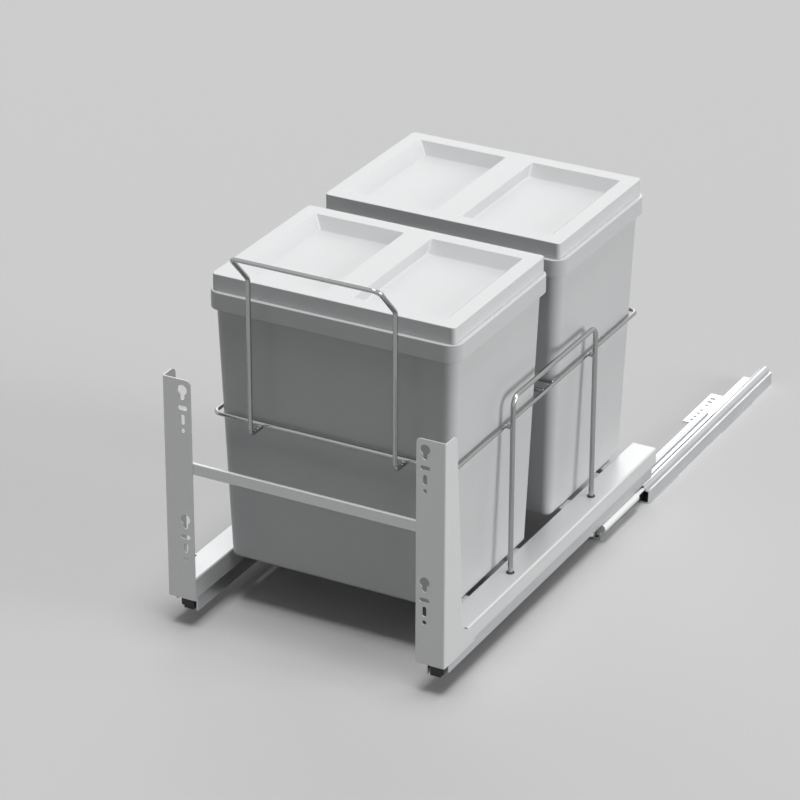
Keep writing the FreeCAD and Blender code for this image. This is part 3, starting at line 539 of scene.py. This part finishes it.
# Bins
# Injection-moulded in light grey, drawn in towards the base so that they leave the mould and nest. The
# rim turns outwards and down into a skirt, and the lid sits on it.

def rounded_loop(mesh, x_low, x_high, y_low, y_high, z, corner, steps=8):
    """A level rectangle with round corners. Gives back its edges."""
    places = ((x_low, y_low), (x_high, y_low), (x_high, y_high), (x_low, y_high))
    corners = [mesh.verts.new((x, y, z)) for x, y in places]
    before = set(mesh.faces)
    mesh.faces.new(corners)
    bmesh.ops.bevel(mesh, geom=corners, offset=corner, offset_type="OFFSET", segments=steps, profile=0.5,
                    affect="VERTICES", material=-1)
    face = next(item for item in mesh.faces if item not in before)
    edges = list(face.edges)
    bmesh.ops.delete(mesh, geom=[face], context="FACES_ONLY")
    return edges


level_tolerance = 0.01 * mm


def skin_between(mesh, loops):
    """Walls from each loop to the next, and a flat ring where the two lie at one level."""
    for low, high in zip(loops, loops[1:]):
        if abs(low[0].verts[0].co.z - high[0].verts[0].co.z) < level_tolerance:
            bmesh.ops.triangle_fill(mesh, use_beauty=True, use_dissolve=False, edges=low + high)
        else:
            bmesh.ops.bridge_loops(mesh, edges=low + high)


def eased(places, eases, steps=3):
    """A profile whose sharp places are drawn round, each by its own ease."""
    drawn = []
    for index, (place, ease) in enumerate(zip(places, eases)):
        if ease == 0.0:
            drawn.append(place)
            continue
        start = place + (places[index - 1] - place).normalized() * ease
        end = place + (places[index + 1] - place).normalized() * ease
        for step in range(steps + 1):
            share = step / steps
            drawn.append(start.lerp(place, share).lerp(place.lerp(end, share), share))
    return drawn


rim_half = 155.0 * mm
rim_half_length = 226.9 * mm / 2
rim_corner = 17.0 * mm
rim_skirt = 21.0 * mm
rim_overhang = 5.0 * mm
bin_wall = 2.0 * mm
bin_taper = 10.6 * mm
bin_corner = 14.0 * mm
bin_base_corner = 11.0 * mm
bin_base_round = 5.0 * mm
rim_round = 1.0 * mm
skirt_round = 0.5 * mm


def make_bin(node, material):
    """The shell from the middle of its base up the outside, over the rim and down the inside."""
    low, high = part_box(node)
    base = low.z
    top = high.z
    middle = (low.y + high.y) / 2
    mesh = bmesh.new()

    def loop(inset, z, corner):
        half_x = rim_half - inset
        half_y = rim_half_length - inset
        return rounded_loop(mesh, -half_x, half_x, middle - half_y, middle + half_y, z, corner)

    foot = rim_overhang + bin_taper
    slope = bin_taper / (top - base)
    places = [
        Vector((foot, base, bin_base_corner)),
        Vector((rim_overhang + slope * bin_wall, top - bin_wall, bin_corner)),
        Vector((bin_wall, top - bin_wall, rim_corner - bin_wall)),
        Vector((bin_wall, top - rim_skirt, rim_corner - bin_wall)),
        Vector((0.0, top - rim_skirt, rim_corner)),
        Vector((0.0, top, rim_corner)),
        Vector((rim_overhang + bin_wall, top, bin_corner - bin_wall)),
        Vector((foot + bin_wall, base + bin_wall, bin_base_corner - bin_wall)),
    ]
    eases = [0.0, 0.0, 0.0, skirt_round, skirt_round, rim_round, rim_round, 0.0]
    loops = [loop(*place) for place in eased(places, eases)]
    skin_between(mesh, loops)
    for edges, size, steps in ((loops[0], bin_base_round, 6), (loops[-1], bin_base_round - bin_wall, 5)):
        bmesh.ops.contextual_create(mesh, geom=edges)
        bmesh.ops.bevel(mesh, geom=edges, offset=size, offset_type="OFFSET", segments=steps, profile=0.5,
                        affect="EDGES", material=-1, clamp_overlap=True)
    stands_for(piece_from(mesh, node + "_moulding", material, 50.0), node, node)


bin_plastic = make_moulded("bin_plastic", (0.55, 0.56, 0.565), (0.59, 0.6, 0.605), 0.3, 0.015 * mm)
for which in ("front", "rear"):
    make_bin(which + "_bin", bin_plastic)

# Lids
# Moulded in a lighter grey. Two trays are sunk into the top with a rib between them, and a collar
# below drops inside the bin's rim.

def make_lid(node, material):
    """One closed skin: edge, top, trays, collar and the trays' undersides."""
    low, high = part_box(node)
    collar_depth = 8.0 * mm
    collar_inset = 2.3 * mm
    collar_corner = 12.0 * mm
    wall = 2.2 * mm
    corner = 5.0 * mm
    edge_width = 18.5 * mm
    rib_width = 34.4 * mm
    tray_depth = 13.0 * mm
    tray_slope = 13.0 * mm
    rib_slope = 1.4 * mm
    tray_corner = 2.5 * mm
    tray_floor_round = 1.2 * mm
    lip_round = 0.6 * mm
    edge_round = 0.7 * mm
    collar_round = 0.4 * mm
    base = low.z + collar_depth
    top = high.z
    mesh = bmesh.new()

    def loop(inset, z, round_corner):
        return rounded_loop(mesh, low.x + inset, high.x - inset, low.y + inset, high.y - inset, z,
                            round_corner)

    def tray_loop(sign, grow, depth, drop=0.0):
        share = depth / tray_depth
        outer = sign * (high.x - edge_width - tray_slope * share + grow)
        inner = sign * (rib_width / 2 + rib_slope * share - grow)
        inward = edge_width + tray_slope * share - grow
        return rounded_loop(mesh, min(outer, inner), max(outer, inner), low.y + inward, high.y - inward,
                            top - depth - drop, tray_corner + grow, 5)

    places = [
        Vector((edge_width, top, corner)),
        Vector((0.0, top, corner)),
        Vector((0.0, base, corner)),
        Vector((collar_inset, base, collar_corner)),
        Vector((collar_inset, low.z, collar_corner)),
        Vector((collar_inset + wall, low.z, collar_corner - wall)),
        Vector((collar_inset + wall, top - wall, collar_corner - wall)),
    ]
    eases = [0.0, edge_round, collar_round, 0.0, collar_round, collar_round, 0.0]
    shell = [loop(*place) for place in eased(places, eases)[1:]]
    skin_between(mesh, shell)
    top_edges = list(shell[0])
    ceiling_edges = list(shell[-1])
    tray_places = [Vector((lip_round, 0.0)), Vector((0.0, 0.0)), Vector((0.0, tray_depth)),
                   Vector((-tray_floor_round, tray_depth))]
    tray_profile = eased(tray_places, [0.0, 0.9 * lip_round, 0.9 * tray_floor_round, 0.0])
    for sign in (-1.0, 1.0):
        tray = [tray_loop(sign, grow, depth) for grow, depth in tray_profile]
        boss = [tray_loop(sign, wall, 0.0, wall), tray_loop(sign, wall, tray_depth, wall)]
        skin_between(mesh, tray)
        skin_between(mesh, boss)
        bmesh.ops.contextual_create(mesh, geom=tray[-1])
        bmesh.ops.contextual_create(mesh, geom=boss[-1])
        top_edges += tray[0]
        ceiling_edges += boss[0]
    for edges in (top_edges, ceiling_edges):
        bmesh.ops.triangle_fill(mesh, use_beauty=True, use_dissolve=False, edges=edges)
    stands_for(piece_from(mesh, node + "_moulding", material, 50.0), node, node)


lid_plastic = make_moulded("lid_plastic", (0.62, 0.63, 0.635), (0.66, 0.67, 0.675), 0.4, 0.02 * mm)
for which in ("front", "rear"):
    make_lid(which + "_lid", lid_plastic)

# Studio
# A pale floor in even light: a wide soft lamp overhead, one at the right and a faint one behind, each
# given by its place, its width in degrees and its strength. The camera is where the picture was taken from.
floor_size = 6.0
floor_seen = (0.54, 0.54, 0.54)
floor_bounce = (0.2, 0.2, 0.2)
backdrop_seen = 0.9
backdrop_light = 0.12
floor_mesh = bmesh.new()
bmesh.ops.create_grid(floor_mesh, x_segments=1, y_segments=1, size=floor_size)
bmesh.ops.translate(floor_mesh, verts=floor_mesh.verts, vec=(0.0, 0.0, cad_low.z))
floor_data = bpy.data.meshes.new("studio_floor")
floor_mesh.to_mesh(floor_data)
floor_mesh.free()
floor = bpy.data.objects.new("studio_floor", floor_data)
bpy.context.scene.collection.objects.link(floor)
floor_material, floor_tree, floor_shader = new_material("studio_floor", floor_seen, 0.8, 0.0)
floor_data.materials.append(floor_material)
floor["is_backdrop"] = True


def where_seen(tree):
    """1 for the rays that show a thing, straight or in gloss and glass, and 0 for the light it gives."""
    rays = tree.nodes.new("ShaderNodeLightPath")
    seen = rays.outputs["Is Camera Ray"]
    for ray in ("Is Glossy Ray", "Is Transmission Ray"):
        either = tree.nodes.new("ShaderNodeMath")
        either.operation = "MAXIMUM"
        tree.links.new(seen, either.inputs[0])
        tree.links.new(rays.outputs[ray], either.inputs[1])
        seen = either.outputs["Value"]
    return seen


floor_shade = floor_tree.nodes.new("ShaderNodeMix")
floor_shade.data_type = "RGBA"
floor_shade.inputs["A"].default_value = (*floor_bounce, 1.0)
floor_shade.inputs["B"].default_value = (*floor_seen, 1.0)
floor_tree.links.new(where_seen(floor_tree), floor_shade.inputs["Factor"])
floor_tree.links.new(floor_shade.outputs["Result"], floor_shader.inputs["Base Color"])

world = bpy.data.worlds.new("studio")
bpy.context.scene.world = world
world.use_nodes = True
backdrop = world.node_tree.nodes["Background"]
backdrop.inputs["Color"].default_value = (1.0, 1.0, 1.0, 1.0)
strength = spread(world.node_tree, where_seen(world.node_tree), 0.0, 1.0, backdrop_light, backdrop_seen)
world.node_tree.links.new(strength, backdrop.inputs["Strength"])

middle = (cad_low + cad_high) / 2
soft_lamps = (
    ("ceiling", (0.15, -0.25, 2.6), 26.0, 2.35),
    ("right_hand", (2.6, 0.3, 0.75), 34.0, 1.95),
    ("back", (-1.7, 3.0, 1.9), 34.0, 0.4),
)
for name, place, width, power in soft_lamps:
    lamp = bpy.data.lights.new(name, "SUN")
    lamp.energy = power
    lamp.angle = math.radians(width)
    made = bpy.data.objects.new(name, lamp)
    made.location = place
    made.rotation_mode = "QUATERNION"
    made.rotation_quaternion = (middle - Vector(place)).to_track_quat("-Z", "Y")
    bpy.context.scene.collection.objects.link(made)

camera_place = Vector((1.73048, -3.61740, 2.02659))
camera_aim = Vector((0.01236, -0.418, 0.23707))
camera_roll = math.radians(0.1472)
camera_lens = 162.44
camera_data = bpy.data.cameras.new("camera")
camera_data.lens = camera_lens
camera_data.sensor_width = 36.0
camera_data.clip_end = 60.0
camera = bpy.data.objects.new("camera", camera_data)
bpy.context.scene.collection.objects.link(camera)
camera.rotation_mode = "QUATERNION"
camera.location = camera_place
facing = (camera_aim - camera_place).to_track_quat("-Z", "Y")
camera.rotation_quaternion = facing @ Matrix.Rotation(camera_roll, 3, "Z").to_quaternion()
bpy.context.scene.camera = camera

bpy.context.scene.view_settings.view_transform = "Standard"
low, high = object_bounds()
